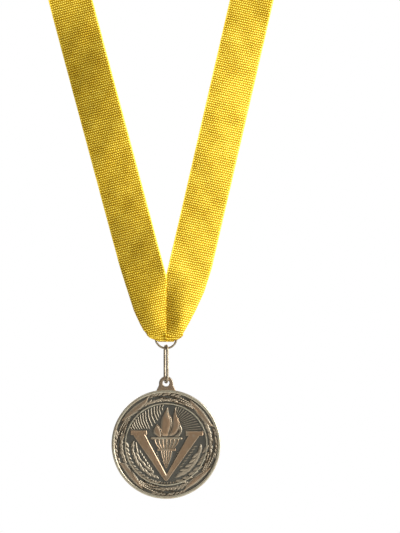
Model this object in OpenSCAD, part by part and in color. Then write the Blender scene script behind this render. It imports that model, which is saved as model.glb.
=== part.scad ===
// Award medal on a neck ribbon.
// It hangs as it is worn: the ribbon goes round the neck, its two ends meet in a V on the chest,
// a D ring is sewn into the V's fold, a long link joins the ring to the lug, and the disc hangs
// from the lug with its relief towards -Y and its engraving plate towards +Y.
// The origin is the middle of the ribbon at the nape of the neck, and +Z is up.

/* [Medal casting] */
// Diameter of the cast disc
disc_d = 57.15; // [48:0.05:70]
// Thickness of the casting at its rims
rim_t = 3.2; // [2.8:0.1:4.5]
// Width of the front rim
rim_w = 1.6; // [1.2:0.1:2.4]
// Depth of the front field below the rim
field_depth = 0.8; // [0.5:0.05:1.0]
// Depth of the seat for the engraving plate in the back
seat_depth = 0.75; // [0.7:0.05:1.0]
// Diameter of the raised ring round the emblem
inner_ring_d = 42.7; // [38:0.1:44]
// Width of that raised ring
inner_ring_w = 0.7; // [0.4:0.1:1.2]
// Bevel on the edges of both rims
rim_bevel = 0.4; // [0.2:0.05:0.6]

/* [Lug] */
// Diameter of the lug's round head
lug_head_d = 7.2; // [6:0.1:9]
// Diameter of the hole through the lug
lug_hole_d = 3.5; // [3.3:0.1:4]
// Height of the hole's centre above the disc's edge
lug_rise = 3.5; // [3:0.1:5]
// Thickness of the lug
lug_t = 2.6; // [2:0.1:2.6]
// Width of the lug's foot where it runs into the disc
lug_foot_w = 11.4; // [9:0.1:14]

/* [Emblem] */
// Height of the V emblem
v_h = 26.4; // [22:0.1:28]
// Width of the V emblem over its serifs
v_w = 37.4; // [32:0.1:40]
// Width of the V's left arm, measured level
v_arm_w = 5.4; // [4:0.1:7]
// Height of the torch with its flame
torch_h = 30.5; // [26:0.1:32]
// Height of the emblem above the field
emblem_h = 0.65; // [0.3:0.05:0.75]

/* [Engraving plate] */
// Diameter of the engraving plate
plate_d = 52.4; // [44:0.1:53]
// Thickness of the engraving plate
plate_t = 0.5; // [0.3:0.05:0.55]
// Thickness of the adhesive disc behind the plate
adhesive_t = 0.15; // [0.05:0.05:0.15]
// How far the adhesive stops short of the plate's edge
adhesive_inset = 1.2; // [0.5:0.1:3]
// Gap between the plate's edge and the casting
plate_gap = 0.1; // [0.05:0.05:0.2]

/* [Long link] */
// Overall length of the link
link_len = 20.5; // [17:0.1:26]
// Overall width of the link
link_w = 6.5; // [6.5:0.1:8]
// Diameter of the link's wire
link_wire = 1.3; // [1:0.1:1.4]
// How far the link is turned about the vertical
link_turn = 16; // [0:1:20]
// Width of the cut where the link's ends meet
link_cut = 0.12; // [0.1:0.01:0.3]

/* [Ribbon ring] */
// Overall width of the D ring
ring_w = 12.2; // [11:0.1:15]
// Diameter of the ring's wire
ring_wire = 1.1; // [0.9:0.1:1.3]
// Height from the bar's centre line to where the round half starts
ring_side = 1.1; // [1:0.1:3]
// Bend radius of the corners, to the wire's centre line
ring_corner_r = 1; // [0.7:0.1:1]

/* [Ribbon] */
// Width of the ribbon
ribbon_w = 22.2; // [18:0.1:26]
// Thickness of the ribbon
ribbon_t = 0.8; // [0.5:0.05:1]
// Lean of the left leg from the vertical
left_tilt = 15; // [10:0.5:18]
// Lean of the right leg from the vertical
right_tilt = 13; // [10:0.5:18]
// Length of the seam that joins the legs, above the ring's bar
seam_h = 31.2; // [28:0.1:40]
// Height above the bar at which the legs start to bend over the shoulders
shoulder_rise = 188; // [170:1:210]
// Height above the bar of the nape of the neck
nape_rise = 288; // [270:1:310]
// How straight the legs run into the shoulder bend
shoulder_pull = 58; // [45:1:70]
// Distance from the chest to the nape
neck_depth = 125; // [105:1:140]
// Length of the hem folded up behind the seam
hem_h = 13; // [11:0.1:16]

/* [Stitching] */
// Diameter of the thread
thread_d = 0.36; // [0.25:0.01:0.5]
// Length of one stitch
stitch_len = 1.5; // [1:0.1:1.8]
// Distance between stitches in the hem
stitch_pitch = 2; // [1.9:0.1:2.4]
// Distance between stitches up the seam
seam_pitch = 3; // [2:0.1:4]

/* [Fits] */
// Gap between the ribbon's fold and the ring's bar
fold_gap = 0.1; // [0.05:0.01:0.2]
// Play between the ring and the link
link_play = 0.15; // [0.1:0.01:0.3]
// How deep a stitch presses into the ribbon
thread_sink = 0.04; // [0.02:0.01:0.08]

/* [Hidden] */
$fn = 64;
eps = 0.01;

bronze = [0.45, 0.36, 0.27];
pale_metal = [0.80, 0.75, 0.66];
yellow = [0.82, 0.64, 0.16];

// Heights are measured from the ring's bar, and home puts the nape at the origin.
fold_inner_r = ring_wire / 2 + fold_gap;
leg_y = -(fold_inner_r + ribbon_t / 2);
home = [0, -(leg_y + neck_depth), -nape_rise];

// Ring and link
ring_r = (ring_w - ring_wire) / 2;
bar_half = ring_r - ring_corner_r;
ring_bottom = -(ring_side + ring_r);
link_r = (link_w - link_wire) / 2;
link_straight = link_len - link_w;
link_top = ring_bottom + (ring_wire + link_wire) / 2 + link_play;
pivot = link_top - link_straight - 2 * link_r;

// The link's end curves up on its way through the lug, so it sits just above the hole's centre.
pivot_above_hole = 0.4;
hole_z = pivot - pivot_above_hole;
disc_r = disc_d / 2;
disc_z = hole_z - lug_rise - disc_r;

field_z = rim_t / 2 - field_depth;
seat_z = rim_t / 2 - seat_depth;
rim_in = disc_r - rim_w;
seat_r = plate_d / 2 + plate_gap;

// Legs: the gathers pull the outer edges in, from the hem up
fold_w = 2 * bar_half - 4 * fold_gap;
leg_foot = ring_wire / 2 + 0.45;
left_gather = [[40, 0], [25, 0.9], [13, 1.6], [6, 3], [leg_foot, 4.4]];
right_gather = [[36, 0], [23, 1.2], [13, 3.5], [6, 5.6], [leg_foot, 7.2]];
bend_steps = 22;
nape_share = 0.62;

// Hem: it leans on the back of the legs above this height
hem_touch = 5;

function tilt(side) = side < 0 ? left_tilt : right_tilt;
function leg_x(side, z) = side * (ribbon_w / 2 / cos(tilt(side)) + tan(tilt(side)) * (z - seam_h));
function outer_x(side, z) = leg_x(side, z) + side * ribbon_w / 2 / cos(tilt(side));

// The ribbon's centre line from a shoulder to the nape is one Bezier curve, drawn so that the
// ribbon only bends across its width and never in its own plane.
function bend(side) = [
    [leg_x(side, shoulder_rise), leg_y, shoulder_rise],
    [leg_x(side, shoulder_rise + shoulder_pull), leg_y, shoulder_rise + shoulder_pull],
    [leg_x(side, nape_rise), leg_y + neck_depth, nape_rise],
    [0, leg_y + neck_depth, nape_rise]];
function point(p, t) =
    pow(1 - t, 3) * p[0] + 3 * pow(1 - t, 2) * t * p[1] + 3 * (1 - t) * t * t * p[2]
    + pow(t, 3) * p[3];
function slope(p, t) =
    pow(1 - t, 2) * (p[1] - p[0]) + 2 * (1 - t) * t * (p[2] - p[1]) + t * t * (p[3] - p[2]);
function curving(p, t) = (1 - t) * (p[2] - 2 * p[1] + p[0]) + t * (p[3] - 2 * p[2] + p[1]);
function unit(v) = v / norm(v);
function outward(p, t) =
    let (a = unit(slope(p, t)), c = curving(p, t)) unit((c * a) * a - c);

// The four corners of the ribbon's section at one place on the bend
function section(p, t) =
    let (o = point(p, t), n = outward(p, t) * ribbon_t / 2,
        w = cross(unit(slope(p, t)), outward(p, t)) * ribbon_w / 2)
    [o - w - n, o + w - n, o + w + n, o - w + n];

// A sheet through a row of sections. Both of its faces are cut along the same diagonals, so that
// it keeps its thickness where it twists.
module strip(sections) {
    last = len(sections) - 1;
    points = [for (s = sections) each s];
    polyhedron(points, [
        [0, 1, 2, 3],
        for (i = [0 : last - 1]) let (a = 4 * i, b = 4 * i + 4) each [
            [a, b, b + 1], [a, b + 1, a + 1],
            [a + 1, b + 1, b + 2], [a + 1, b + 2, a + 2],
            [a + 2, b + 2, a + 3], [b + 2, b + 3, a + 3],
            [a + 3, b + 3, b], [a + 3, b, a]],
        [for (k = [3 : -1 : 0]) 4 * last + k]]);
}

module upright() translate([0, 0, disc_z]) rotate([90, 0, 0]) children();

module disc_body() rotate_extrude($fn = 160) polygon([
    [0, field_z],
    [(inner_ring_d - inner_ring_w) / 2, field_z],
    [(inner_ring_d - inner_ring_w) / 2, field_z + emblem_h],
    [(inner_ring_d + inner_ring_w) / 2, field_z + emblem_h],
    [(inner_ring_d + inner_ring_w) / 2, field_z],
    [rim_in, field_z],
    [rim_in, rim_t / 2 - rim_bevel],
    [rim_in + rim_bevel, rim_t / 2],
    [disc_r - rim_bevel, rim_t / 2],
    [disc_r, rim_t / 2 - rim_bevel],
    [disc_r, rim_bevel - rim_t / 2],
    [disc_r - rim_bevel, -rim_t / 2],
    [seat_r, -rim_t / 2],
    [seat_r, -seat_z],
    [0, -seat_z]]);

// The lug's outline, in the plane of the disc, with its foot sunk into the disc's edge
module lug_outline() {
    head_z = disc_r + lug_rise;
    foot_z = sqrt(pow(disc_r, 2) - pow(lug_foot_w / 2, 2)) - eps;
    translate([0, head_z]) circle(d = lug_head_d);
    polygon([
        [-lug_foot_w / 2, foot_z], [-lug_head_d / 2, disc_r + lug_rise * 0.25],
        [-lug_head_d / 2 * cos(20), head_z - lug_head_d / 2 * sin(20)],
        [lug_head_d / 2 * cos(20), head_z - lug_head_d / 2 * sin(20)],
        [lug_head_d / 2, disc_r + lug_rise * 0.25], [lug_foot_w / 2, foot_z],
        [lug_foot_w / 2 - rim_w, foot_z - rim_w / 2], [rim_w - lug_foot_w / 2, foot_z - rim_w / 2]]);
}

// The V's top is level with v_top, measured from the disc's centre
v_top = v_h * 0.27;
module v_emblem() {
    arm_x = v_w / 2 - 3;
    foot = v_top - v_h;
    polygon([
        [-v_w / 2, v_top], [-v_w / 2 + 8.7, v_top], [-v_w / 2 + 8.7, v_top - 1.4],
        [-arm_x + v_arm_w + 1, v_top - 1.4], [0.6, foot + 5], [arm_x - v_arm_w, v_top - 1.4],
        [v_w / 2 - 8.4, v_top - 1.4], [v_w / 2 - 8.4, v_top], [v_w / 2, v_top],
        [v_w / 2, v_top - 1.4], [arm_x, v_top - 1.4], [0.4, foot], [-0.4, foot],
        [-arm_x, v_top - 1.4], [-v_w / 2, v_top - 1.4]]);
}

// One tongue of flame: a curved leaf that ends in a point
module tongue(x, z, width, height, sway) {
    steps = 12;
    function mid(s) = x + sway * sin(s * 240);
    function half(s) = width / 2 * sin(20 + 160 * s) + width * 0.02;
    polygon([
        for (i = [0 : steps]) [mid(i / steps) - half(i / steps), z + height * i / steps],
        for (i = [steps : -1 : 0]) [mid(i / steps) + half(i / steps), z + height * i / steps]]);
}

module torch() {
    cup = 3.2;
    foot = cup - torch_h / 2;
    polygon([[-8.1, cup], [8.3, cup], [8.3, cup - 1], [4.9, cup - 5.2], [4.9, cup - 6.4],
        [2.7, cup - 6.6], [0.2, foot], [-0.2, foot], [-2.7, cup - 6.6], [-4.6, cup - 6.4],
        [-4.6, cup - 5.2], [-8.1, cup - 1]]);
    tongue(-3.2, cup - eps, 6.4, torch_h * 0.24, -1.1);
    tongue(0.4, cup - eps, 5.6, torch_h * 0.5, 1.3);
    tongue(4.2, cup - eps, 5.4, torch_h * 0.5, 0.9);
}

module medal_casting() color(bronze) translate(home) difference() {
    union() {
        upright() {
            disc_body();
            translate([0, 0, -lug_t / 2]) linear_extrude(lug_t) lug_outline();
            translate([0, 0, field_z - eps]) linear_extrude(emblem_h + eps) v_emblem();
            translate([0, 0, field_z - eps]) linear_extrude(emblem_h * 0.8) torch();
        }
    }
    translate([0, 0, hole_z]) rotate([90, 0, 0])
        cylinder(d = lug_hole_d, h = lug_t + 2, center = true);
}

module adhesive_disc() color("white") translate(home) upright()
    translate([0, 0, -seat_z - adhesive_t])
        cylinder(r = plate_d / 2 - adhesive_inset, h = adhesive_t, $fn = 128);

module engraving_plate() color([0.03, 0.03, 0.03]) translate(home) upright()
    translate([0, 0, -seat_z - adhesive_t - plate_t])
        cylinder(d = plate_d, h = plate_t, $fn = 128);

// Wire that bends round part of a circle in the XZ plane, from the +X direction anticlockwise
module wire_arc(radius, wire, from, angle) rotate([90, 0, 0]) rotate([0, 0, from])
    rotate_extrude(angle = angle) translate([radius, 0]) circle(d = wire, $fn = 32);

module long_link() color(pale_metal) translate(home) translate([0, 0, link_top - link_r])
    rotate([0, 0, 90 + link_turn]) difference() {
        union() {
            wire_arc(link_r, link_wire, 0, 180);
            translate([0, 0, -link_straight]) wire_arc(link_r, link_wire, 180, 180);
            for (side = [-1, 1]) translate([side * link_r, 0, -link_straight])
                cylinder(d = link_wire, h = link_straight, $fn = 32);
        }
        translate([link_r, 0, -link_straight / 2])
            cube([link_wire * 2, link_wire * 2, link_cut], center = true);
    }

module ribbon_ring() color(pale_metal) translate(home) {
    translate([0, 0, -ring_side]) wire_arc(ring_r, ring_wire, 180, 180);
    for (side = [-1, 1]) translate([side * ring_r, 0, -ring_side])
        cylinder(d = ring_wire, h = ring_side - ring_corner_r, $fn = 32);
    translate([bar_half, 0, -ring_corner_r]) wire_arc(ring_corner_r, ring_wire, 0, 90);
    translate([-bar_half, 0, -ring_corner_r]) wire_arc(ring_corner_r, ring_wire, 90, 90);
    rotate([0, 90, 0]) cylinder(d = ring_wire, h = 2 * bar_half, center = true, $fn = 32);
}

// A leg lies flat from the seam to the shoulder. Its top edge is square to its length.
module leg(side, gather) color(yellow) translate(home) {
    end = [leg_x(side, shoulder_rise), shoulder_rise];
    across = [cos(tilt(side)), -side * sin(tilt(side))] * ribbon_w / 2;
    translate([0, leg_y + ribbon_t / 2, 0]) rotate([90, 0, 0]) linear_extrude(ribbon_t)
        polygon([
            [0, leg_foot], [0, seam_h], end - side * across, end + side * across,
            for (g = gather) [outer_x(side, g[0]) - side * g[1], g[0]]]);
}
module ribbon_left_leg() leg(-1, left_gather);
module ribbon_right_leg() leg(1, right_gather);

module shoulder(side) color(yellow) translate(home)
    strip([for (i = [0 : bend_steps]) section(bend(side), nape_share * i / bend_steps)]);
module ribbon_left_shoulder() shoulder(-1);
module ribbon_right_shoulder() shoulder(1);

// The right half's sections face the other way along the ribbon, so their corners are swapped.
module ribbon_nape() color(yellow) translate(home) strip([
    for (i = [0 : bend_steps])
        section(bend(-1), nape_share + (1 - nape_share) * i / bend_steps),
    for (i = [bend_steps - 1 : -1 : 0])
        let (s = section(bend(1), nape_share + (1 - nape_share) * i / bend_steps))
            [s[1], s[0], s[3], s[2]]]);

// The fold comes down in front of the bar, turns under it and lies up the back of the legs.
module ribbon_ring_fold() color(yellow) translate(home) rotate([90, 0, 90])
    translate([0, 0, -fold_w / 2]) linear_extrude(fold_w) {
        back = fold_inner_r + ribbon_t;
        difference() {
            circle(r = back);
            circle(r = fold_inner_r);
            translate([-2 * back, 0]) square(4 * back);
        }
        translate([-back, 0]) square([ribbon_t, leg_foot]);
        polygon([[fold_inner_r, 0], [back, 0], [ribbon_t - fold_inner_r, hem_touch],
            [ribbon_t - fold_inner_r, hem_h], [-fold_inner_r, hem_h], [-fold_inner_r, hem_touch]]);
    }

// One stitch lies level on a face whose surface is at y
module stitch(x, y, z, length) translate([x, y + thread_d / 2 - thread_sink, z])
    rotate([0, 90, 0]) cylinder(d = thread_d, h = length, center = true, $fn = 16);

module ribbon_stitching() color("goldenrod") translate(home) {
    hem_y = ribbon_t - fold_inner_r;
    hem_stitches = floor(fold_w / stitch_pitch);
    for (z = [hem_touch + 1.5, hem_h - 1.5], i = [0 : hem_stitches - 1])
        stitch((i - (hem_stitches - 1) / 2) * stitch_pitch, hem_y, z, stitch_len);
    for (z = [hem_h + seam_pitch / 2 : seam_pitch : seam_h - seam_pitch / 2])
        stitch(0, leg_y + ribbon_t / 2, z, 2 * stitch_len);
}

medal_casting();
adhesive_disc();
engraving_plate();
long_link();
ribbon_ring();
ribbon_left_leg();
ribbon_right_leg();
ribbon_left_shoulder();
ribbon_right_shoulder();
ribbon_nape();
ribbon_ring_fold();
ribbon_stitching();
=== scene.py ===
# %% [markdown]
# # An award medal on its neck ribbon
#
# The real medal is a zinc casting with an antique bronze finish. A long wire link hangs it from a
# D ring, and the ring is sewn into the V where the two ends of a woven neck ribbon meet. A gloss
# black engraving plate is stuck into a seat in the medal's back.
#
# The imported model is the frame: it says where each body is and how it moves. The pieces that this
# lesson makes go where the frame's nodes are, and each rides on the body that it belongs to.

# %% Load the frame
import math
import random

import bpy
import numpy as np
from mathutils import Matrix, Vector


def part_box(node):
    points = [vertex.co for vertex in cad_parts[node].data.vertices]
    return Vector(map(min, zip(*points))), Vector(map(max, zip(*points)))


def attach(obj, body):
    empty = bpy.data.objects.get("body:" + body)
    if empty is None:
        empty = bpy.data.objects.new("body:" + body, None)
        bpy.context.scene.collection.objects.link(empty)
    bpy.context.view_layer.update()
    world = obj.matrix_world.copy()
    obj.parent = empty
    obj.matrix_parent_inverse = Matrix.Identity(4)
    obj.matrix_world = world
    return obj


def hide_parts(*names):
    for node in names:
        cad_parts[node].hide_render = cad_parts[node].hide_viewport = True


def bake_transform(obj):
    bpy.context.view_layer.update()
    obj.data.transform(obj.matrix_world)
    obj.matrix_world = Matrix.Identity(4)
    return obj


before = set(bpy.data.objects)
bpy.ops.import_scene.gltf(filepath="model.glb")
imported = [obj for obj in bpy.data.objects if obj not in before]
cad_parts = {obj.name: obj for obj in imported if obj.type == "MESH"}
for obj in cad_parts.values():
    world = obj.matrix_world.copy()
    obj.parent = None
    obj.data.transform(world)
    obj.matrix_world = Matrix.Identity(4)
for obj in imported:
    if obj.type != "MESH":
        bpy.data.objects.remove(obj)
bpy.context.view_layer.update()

MM = 0.001
scene = bpy.context.scene
print("the frame's nodes:", sorted(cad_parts))

# %% [markdown]
# ## Where things are
#
# Places are read from the frame's own boxes, so that nothing is fitted by eye. The ring's bar, the
# long link and the middle of the disc all lie in one upright plane, and the front faces -Y.

# %% Places from the frame
plate_low, plate_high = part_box("engraving_plate")
cast_low, cast_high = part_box("medal_casting")
ring_low, ring_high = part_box("ribbon_ring")
link_low, link_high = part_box("long_link")
DISC = Vector((0, (ring_low.y + ring_high.y) / 2, (plate_low.z + plate_high.z) / 2))
DISC_R = (cast_high.x - cast_low.x) / 2
RIM_T = cast_high.y - cast_low.y
RING_WIRE = ring_high.y - ring_low.y
BAR = Vector((0, DISC.y, ring_high.z - RING_WIRE / 2))
print(f"disc {2 * DISC_R / MM:.2f} mm across, {RIM_T / MM:.2f} mm thick")

# %% [markdown]
# ## The camera
#
# The medal is seen straight from the front, from far off with a long lens, so the ribbon's legs
# keep their slopes. The view is about 280 mm tall, which cuts the ribbon below the shoulders.

# %% Camera
VIEW_HEIGHT, FAR = 0.2795, 2.0
bpy.ops.object.camera_add(
    location=(0.0178, DISC.y - FAR, DISC.z + 0.0932), rotation=(math.pi / 2, 0, 0)
)
camera = bpy.context.object
camera.data.sensor_width = 36
camera.data.lens = camera.data.sensor_width * FAR / VIEW_HEIGHT
scene.camera = camera
print(f"lens {camera.data.lens:.0f} mm")

# %% [markdown]
# ## Light
#
# A pale room lights everything softly. It is darker on the left, and in front so that the flat
# bronze doesn't wash out. One large soft lamp on the right models the relief and makes the right
# leg of the ribbon shine. A weak one on the left keeps the other edges readable, and one at the
# back lights the plate and the hem.

# %% World
ROOM_LEFT, ROOM_RIGHT, ROOM_FRONT = 0.06, 1.1, 0.33
scene.view_settings.view_transform = "Standard"
world = bpy.data.worlds.new("studio")
scene.world = world
world.use_nodes = True
room = world.node_tree
room.nodes.clear()


def wire_up(tree, kind, links=None, **settings):
    """Adds a shader node, sets its properties and joins its inputs to values or sockets."""
    node = tree.nodes.new(kind)
    for key, value in settings.items():
        setattr(node, key, value)
    for key, value in (links or {}).items():
        if isinstance(value, bpy.types.NodeSocket):
            tree.links.new(value, node.inputs[key])
        else:
            node.inputs[key].default_value = value
    return node


where = wire_up(room, "ShaderNodeTexCoord")
split = wire_up(room, "ShaderNodeSeparateXYZ", {0: where.outputs["Generated"]})
sides = wire_up(
    room, "ShaderNodeMapRange",
    {0: split.outputs["X"], 1: -0.6, 2: 0.9, 3: ROOM_LEFT, 4: ROOM_RIGHT},
)
depth = wire_up(
    room, "ShaderNodeMapRange", {0: split.outputs["Y"], 1: -0.9, 2: -0.2, 3: 0.0, 4: 1.0}
)
front_tone = wire_up(
    room, "ShaderNodeMix", {0: depth.outputs[0], 2: ROOM_FRONT, 3: sides.outputs[0]}
)
seen = wire_up(room, "ShaderNodeLightPath")
pale = wire_up(
    room, "ShaderNodeMix", {0: seen.outputs["Is Camera Ray"], 2: front_tone.outputs[0], 3: 1.0}
)
glow = wire_up(room, "ShaderNodeBackground", {0: (1, 1, 1, 1), 1: pale.outputs[0]})
wire_up(room, "ShaderNodeOutputWorld", {0: glow.outputs[0]})
print("room:", len(room.nodes), "nodes")

# %% Lamps
AIM_HEIGHT = -0.22


def lamp(name, place, size, power):
    """A square soft light that faces the medal."""
    bpy.ops.object.light_add(type="AREA", location=place)
    light = bpy.context.object
    light.name = name
    light.data.size = size
    light.data.energy = power
    aim = Vector((0, DISC.y, AIM_HEIGHT)) - Vector(place)
    light.rotation_euler = aim.to_track_quat("-Z", "Y").to_euler()


lamp("key_right", (1.15, -0.42, 0.1), 0.9, 38)
lamp("fill_left", (-0.4, -1.0, 0.4), 0.7, 2)
lamp("back_left", (-0.6, 0.9, 0.3), 0.6, 9)

# %% [markdown]
# ## Floor
#
# The medal hangs in the air, so the floor is well below it, out of the front view. It is one flat
# disc, no part of the medal.

# %% Floor
FLOOR_R, FLOOR_Z = 0.75, -0.5
bpy.ops.mesh.primitive_circle_add(
    vertices=96, radius=FLOOR_R, fill_type="NGON", location=(0, -0.06, FLOOR_Z)
)
floor = bpy.context.object
floor.name = "floor"
print(f"floor {FLOOR_Z - DISC.z:.2f} m from the disc's centre")

# %% [markdown]
# ## Helpers for working in edit mode
#
# Every new piece starts as a primitive, and its faces are picked by place or direction. An
# operator acts on all that is selected, so each helper clears the selection first.

# %% Picking and shaping


def only(piece):
    """Leaves edit mode, and selects this piece alone."""
    if bpy.context.mode != "OBJECT":
        bpy.ops.object.mode_set(mode="OBJECT")
    bpy.ops.object.select_all(action="DESELECT")
    piece.select_set(True)
    bpy.context.view_layer.objects.active = piece


def pick_faces(piece, test):
    """Goes into edit mode with just the faces whose middle and normal pass the test."""
    only(piece)
    bpy.ops.object.mode_set(mode="EDIT")
    bpy.ops.mesh.select_mode(type="FACE")
    bpy.ops.mesh.select_all(action="DESELECT")
    bpy.ops.object.mode_set(mode="OBJECT")
    for face in piece.data.polygons:
        face.select = test(face.center, face.normal)
    bpy.ops.object.mode_set(mode="EDIT")


def pick_edges(piece, test):
    """Goes into edit mode with just the edges whose two ends pass the test with one answer."""
    only(piece)
    bpy.ops.object.mode_set(mode="EDIT")
    bpy.ops.mesh.select_mode(type="EDGE")
    bpy.ops.mesh.select_all(action="DESELECT")
    bpy.ops.object.mode_set(mode="OBJECT")
    corners = piece.data.vertices
    for edge in piece.data.edges:
        found = [test(corners[i].co) for i in edge.vertices]
        edge.select = bool(found[0]) and found[0] == found[1]
    bpy.ops.object.mode_set(mode="EDIT")


def raise_by(height):
    bpy.ops.mesh.extrude_region_move(TRANSFORM_OT_translate={"value": (0, 0, height)})


def done(piece, angle=35):
    """Leaves edit mode with the faces pointing outwards and the curved ones shaded smooth."""
    only(piece)
    bpy.ops.object.mode_set(mode="EDIT")
    bpy.ops.mesh.select_all(action="SELECT")
    bpy.ops.mesh.normals_make_consistent(inside=False)
    bpy.ops.object.mode_set(mode="OBJECT")
    bpy.ops.object.shade_smooth_by_angle(angle=math.radians(angle))
    return piece


def join(name, pieces):
    """One piece from several."""
    only(pieces[0])
    for piece in pieces[1:]:
        piece.select_set(True)
    bpy.ops.object.join()
    piece = bpy.context.object
    piece.name = piece.data.name = name
    return piece


def copy_at(source, matrix):
    """A copy of a form with its own mesh, moved by the matrix."""
    piece = source.copy()
    piece.data = source.data.copy()
    piece.data.transform(matrix)
    bpy.context.collection.objects.link(piece)
    return piece


# %% [markdown]
# ## Working flat
#
# The medal is modelled lying flat, the way a die cutter works: X to the right, Y up the medal and
# Z out of its front. The same turn then stands every finished form up at the disc's centre.

# %% From the bench to the frame
STAND = Matrix.Translation(DISC) @ Matrix.Rotation(math.pi / 2, 4, "X")


def stand_up(piece):
    piece.data.transform(STAND)
    piece.data.update()
    return piece


def on_arc(radius, degrees):
    turn = math.radians(degrees)
    return radius * math.cos(turn), radius * math.sin(turn)


def smooth_line(points, count):
    """Places evenly spaced by parameter on a Catmull-Rom curve through a few chosen points."""
    known = np.array([points[0], *points, points[-1]], float)
    found = []
    for k in range(count):
        at = (len(points) - 1) * k / (count - 1)
        i = min(int(at), len(points) - 2)
        t = at - i
        p0, p1, p2, p3 = known[i : i + 4]
        found.append(0.5 * (
            2 * p1 + (p2 - p0) * t + (2 * p0 - 5 * p1 + 4 * p2 - p3) * t**2
            + (3 * p1 - p0 - 3 * p2 + p3) * t**3
        ))
    return np.array(found)


# %% [markdown]
# ## Raised forms
#
# Relief on a struck or cast medal is low and soft. Flat faced letters are cut out: a filled
# outline, extruded and inset so that its edges slope. Leaves, flames and rays are lofted instead:
# a grid is laid between a left and a right edge, crowned across so that it catches light along one
# flank, and closed underneath. Their feet reach just below the field, which leaves no gap.

# %% Cut outs and lofts
FOOT = 0.06
MERGE = 0.001


def cut_out(outline, low, steps):
    """A raised form with a flat top. A filled circle's corners are pulled to the outline, then
    each step insets the top by a margin, or raises it straight where the margin is nothing."""
    bpy.ops.object.select_all(action="DESELECT")
    bpy.ops.mesh.primitive_circle_add(vertices=len(outline), radius=1, fill_type="NGON")
    piece = bpy.context.object
    for corner, (x, y) in zip(piece.data.vertices, outline):
        corner.co = (x * MM, y * MM, low * MM)
    pick_faces(piece, lambda middle, normal: True)
    for margin, lift in steps:
        if margin:
            bpy.ops.mesh.inset(thickness=margin * MM, depth=0)
            bpy.ops.transform.translate(value=(0, 0, lift * MM))
        else:
            raise_by(lift * MM)
    return done(piece, 25)


def loft(left, right, height, low=None, across=6, along=14, crest=0.0, flat=2.0):
    """A crowned form between two edges, which goes down into the field at both ends. Crest
    moves its ridge to one side, from -1 to 1."""
    low = FIELD if low is None else low
    bpy.ops.object.select_all(action="DESELECT")
    bpy.ops.mesh.primitive_grid_add(x_subdivisions=across, y_subdivisions=along, size=2 * MM)
    piece = bpy.context.object
    edges = smooth_line(left, along + 1), smooth_line(right, along + 1)
    for corner in piece.data.vertices:
        u = corner.co.x / MM
        row = round((corner.co.y / MM + 1) / 2 * along)
        a, b = edges[0][row], edges[1][row]
        x, y = (a + b) / 2 + (b - a) / 2 * u
        lean = (u - crest) / (1 - crest) if u > crest else (crest - u) / (1 + crest)
        rise = height * (1 - lean**flat) * (0 < row < along) - FOOT
        corner.co = (x * MM, y * MM, (low + rise) * MM)
    pick_faces(piece, lambda middle, normal: True)
    bpy.ops.mesh.remove_doubles(threshold=MERGE * MM)
    bpy.ops.mesh.region_to_loop()
    bpy.ops.mesh.edge_face_add()
    return done(piece, 60)


def strand(line, widths, height, **how):
    """A crowned line whose half width changes along it."""
    along = how.setdefault("along", 12)
    middle = smooth_line(line, along + 1)
    half = np.interp(np.linspace(0, 1, along + 1), np.linspace(0, 1, len(widths)), widths)
    ahead = np.gradient(middle, axis=0)
    ahead /= np.linalg.norm(ahead, axis=1)[:, None]
    side = np.stack([ahead[:, 1], -ahead[:, 0]], axis=1) * half[:, None]
    return loft(middle - side, middle + side, height, **how)


# %% [markdown]
# ## The cast disc
#
# A turned blank: a rounded rim, a sunk field in front and a seat in the back. It is a cylinder
# whose caps are inset and pushed in, which keeps every edge a clean circle that can be bevelled.

# %% Disc blank
TOP = RIM_T / MM / 2
RADIUS = DISC_R / MM
RIM_W, FIELD_DEPTH, SEAT_DEPTH = 1.6, 0.8, 0.75
PLATE_R = (plate_high.x - plate_low.x) / 2 / MM
SEAT_GAP = 0.1
SEAT_R = PLATE_R + SEAT_GAP
RING_R, RING_HALF, RING_H = 21.35, 0.35, 0.72
FIELD = TOP - FIELD_DEPTH
RIM_SLOPE, RING_SLOPE = 0.5, 0.2
# How near a corner must be to count as on a circle, and as level with it
ON_CIRCLE, LEVEL = 0.05, 0.01

bpy.ops.object.select_all(action="DESELECT")
bpy.ops.mesh.primitive_cylinder_add(vertices=192, radius=DISC_R, depth=RIM_T)
disc = bpy.context.object
pick_faces(disc, lambda middle, normal: normal.z > 0.9)
bpy.ops.mesh.inset(thickness=RIM_W * MM, depth=0)
raise_by(-FIELD_DEPTH * MM)
bpy.ops.mesh.inset(thickness=(RADIUS - RIM_W - RING_R - RING_HALF) * MM, depth=0)
raise_by(RING_H * MM)
bpy.ops.mesh.inset(thickness=2 * RING_HALF * MM, depth=0)
raise_by(-RING_H * MM)
pick_faces(disc, lambda middle, normal: normal.z < -0.9)
bpy.ops.mesh.inset(thickness=(RADIUS - SEAT_R) * MM, depth=0)
raise_by(SEAT_DEPTH * MM)


def circle_at(corner, height, circles):
    """The circle that a corner lies on at a height, or nothing."""
    away = math.hypot(corner.x, corner.y) / MM
    near = min(circles, key=lambda radius: abs(away - radius))
    return near if abs(away - near) < ON_CIRCLE and abs(corner.z / MM - height) < LEVEL else None


pick_edges(disc, lambda corner: circle_at(corner, TOP, (RADIUS, RADIUS - RIM_W)))
bpy.ops.mesh.bevel(offset=RIM_SLOPE * MM, segments=4, profile=0.5)
pick_edges(disc, lambda corner: circle_at(corner, -TOP, (RADIUS, SEAT_R)))
bpy.ops.mesh.bevel(offset=RIM_SLOPE * MM, segments=4, profile=0.5)
ring_edges = (RING_R - RING_HALF, RING_R + RING_HALF)
pick_edges(disc, lambda corner: circle_at(corner, FIELD + RING_H, ring_edges))
bpy.ops.mesh.bevel(offset=RING_SLOPE * MM, segments=2, profile=0.5)
done(disc, 40)
print("disc blank:", len(disc.data.polygons), "faces")

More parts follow.
